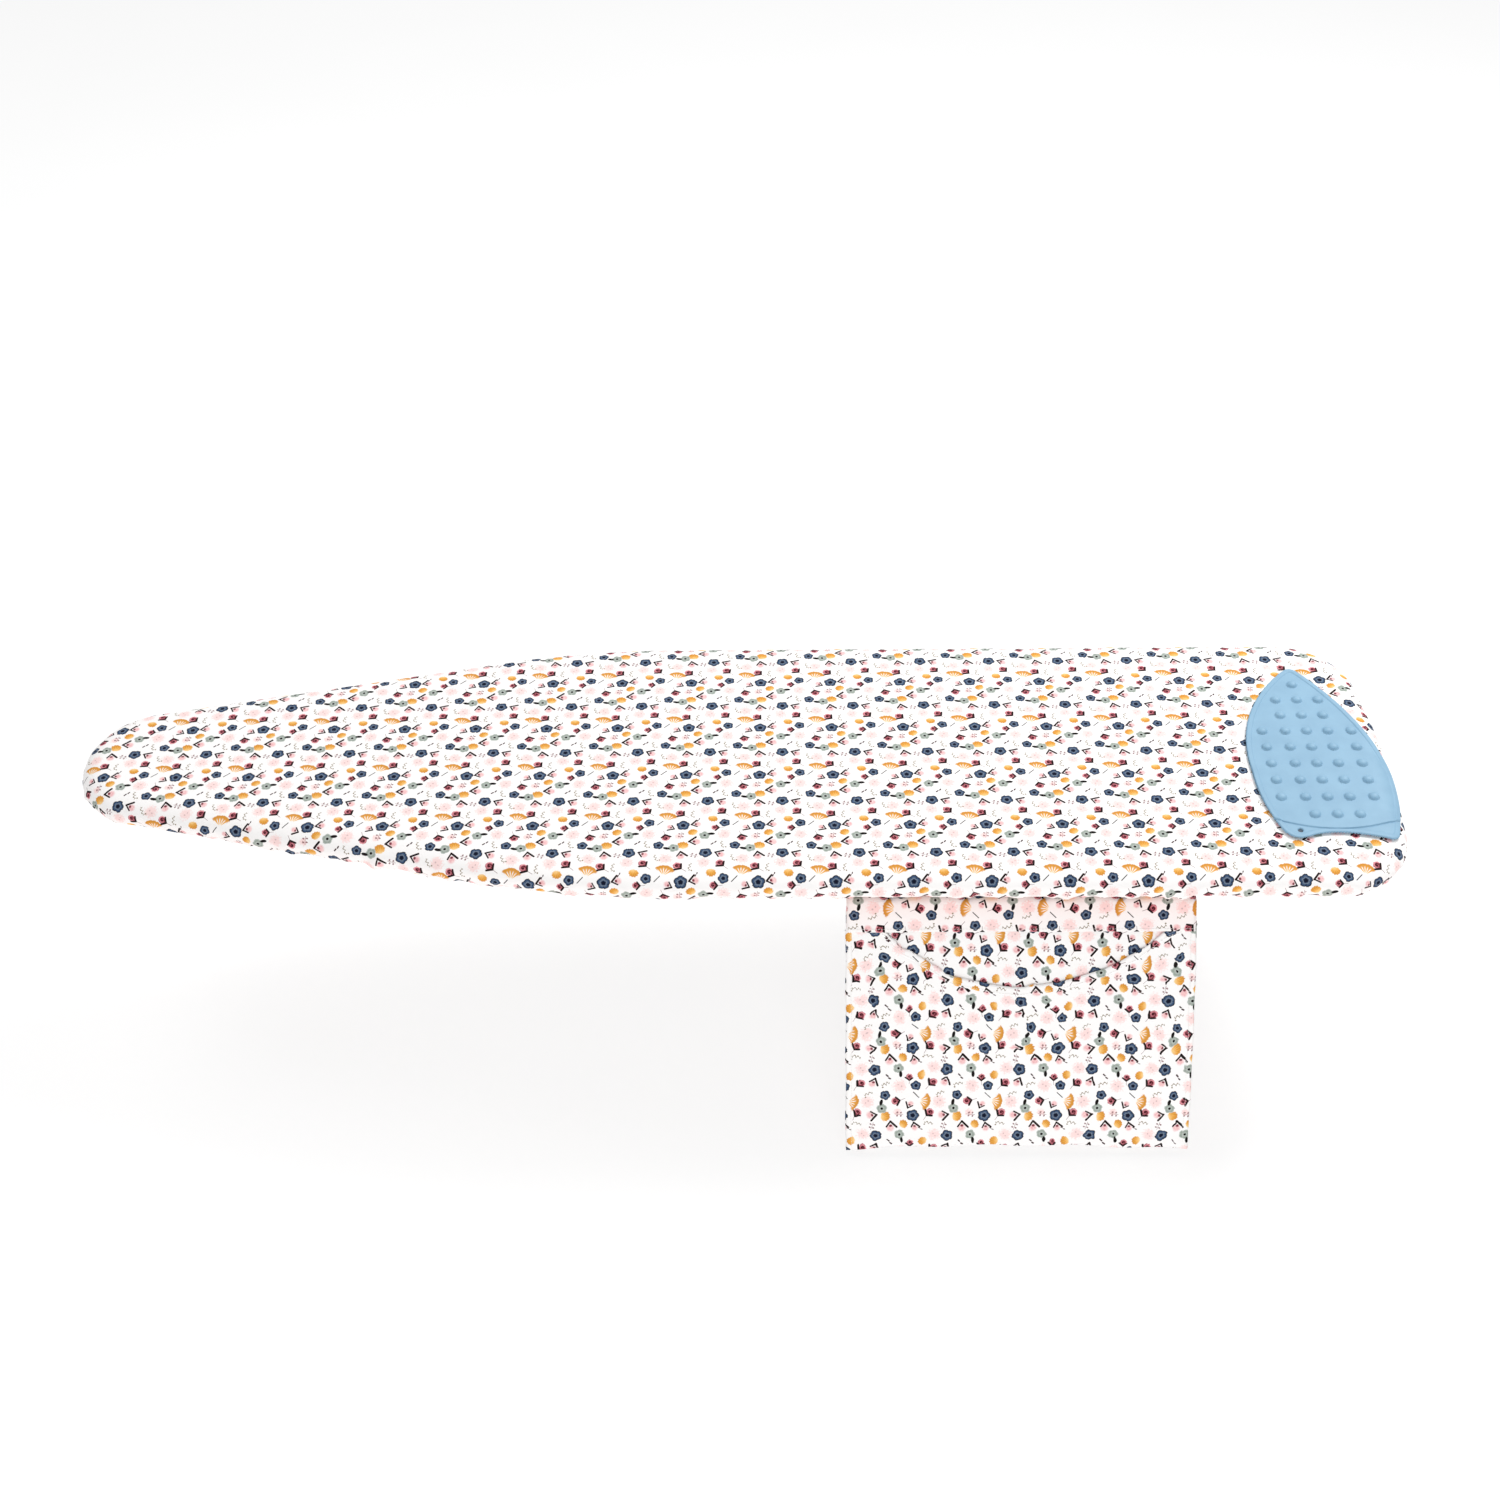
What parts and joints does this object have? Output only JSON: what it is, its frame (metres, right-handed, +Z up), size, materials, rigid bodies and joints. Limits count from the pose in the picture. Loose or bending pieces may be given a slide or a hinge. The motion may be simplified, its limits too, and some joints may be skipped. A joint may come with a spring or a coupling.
{
  "type": "ironing board top",
  "caption": "Padded ironing board top with a fitted printed cover, a ribbed silicone iron rest and a hanging side pocket, on a steel frame with a leg bracket and height rail.",
  "frame": {"origin": "middle of the leg pivot bore under the board", "axes": "+X from the narrow nose to the square tail, +Y along the pivot bore to the back edge, +Z up through the ironing face"},
  "size_m": [1.3715, 0.4851, 0.2978],
  "materials": {
    "printed_cotton": "white cotton with a small scattered flower print in navy, sage, mustard, rose and pink",
    "blue_silicone": "matte light blue silicone",
    "pad_foam": "soft open foam",
    "pad_felt": "needled felt",
    "elastic_webbing": "ribbed white elastic",
    "coated_steel": "satin light grey powder coat",
    "plated_steel": "zinc plated",
    "grip_plastic": "moulded dark grey",
    "clip_plastic": "moulded white"
  },
  "bodies": {
    "board": {"mesh_panel": "coated_steel", "rim_tube": "coated_steel", "rim_joiner": "plated_steel", "rib_nose": "coated_steel", "rib_mid": "coated_steel", "rib_tail": "coated_steel", "leg_bracket": "coated_steel", "bracket_rivets": "plated_steel", "adjuster_rail": "coated_steel", "rail_rivets": "plated_steel", "lever_bracket": "coated_steel", "lever_rivets": "plated_steel", "lever_pin": "plated_steel", "lever_spring": "plated_steel", "foam_pad": "pad_foam", "felt_pad": "pad_felt", "cotton_cover": "printed_cotton", "hem_casing": "printed_cotton", "hem_elastic": "elastic_webbing", "strap_nose": "elastic_webbing", "strap_mid": "elastic_webbing", "strap_tail": "elastic_webbing", "strap_clips": "clip_plastic", "pocket_tab": "printed_cotton"},
    "lever": {"release_lever": "plated_steel", "lever_grip": "grip_plastic"},
    "iron_rest": {"iron_rest_mat": "blue_silicone"},
    "pocket": {"pocket_band": "printed_cotton", "pocket_back": "printed_cotton", "pocket_front": "printed_cotton", "mouth_hem": "printed_cotton", "pocket_binding_nose": "printed_cotton", "pocket_binding_tail": "printed_cotton"}
  },
  "joints": [
    {"name": "pocket_swing", "type": "hinge", "parent": "board", "child": "pocket", "pos_m": [-0.0675, -0.181, 0.0107], "axis": [1, 0, 0], "range_deg": [-60, 45]},
    {"name": "release_lever_squeeze", "type": "hinge", "parent": "board", "child": "lever", "pos_m": [-0.44, 0.044, 0.016], "axis": [1, 0, 0], "range_deg": [0, 12], "stiffness_Nm_per_rad": 0.6, "springref_deg": -14.32},
    {"name": "iron_rest_lift", "type": "slide", "parent": "board", "child": "iron_rest", "axis": [0, 0, 1], "range_m": [0, 0.12]}
  ]
}
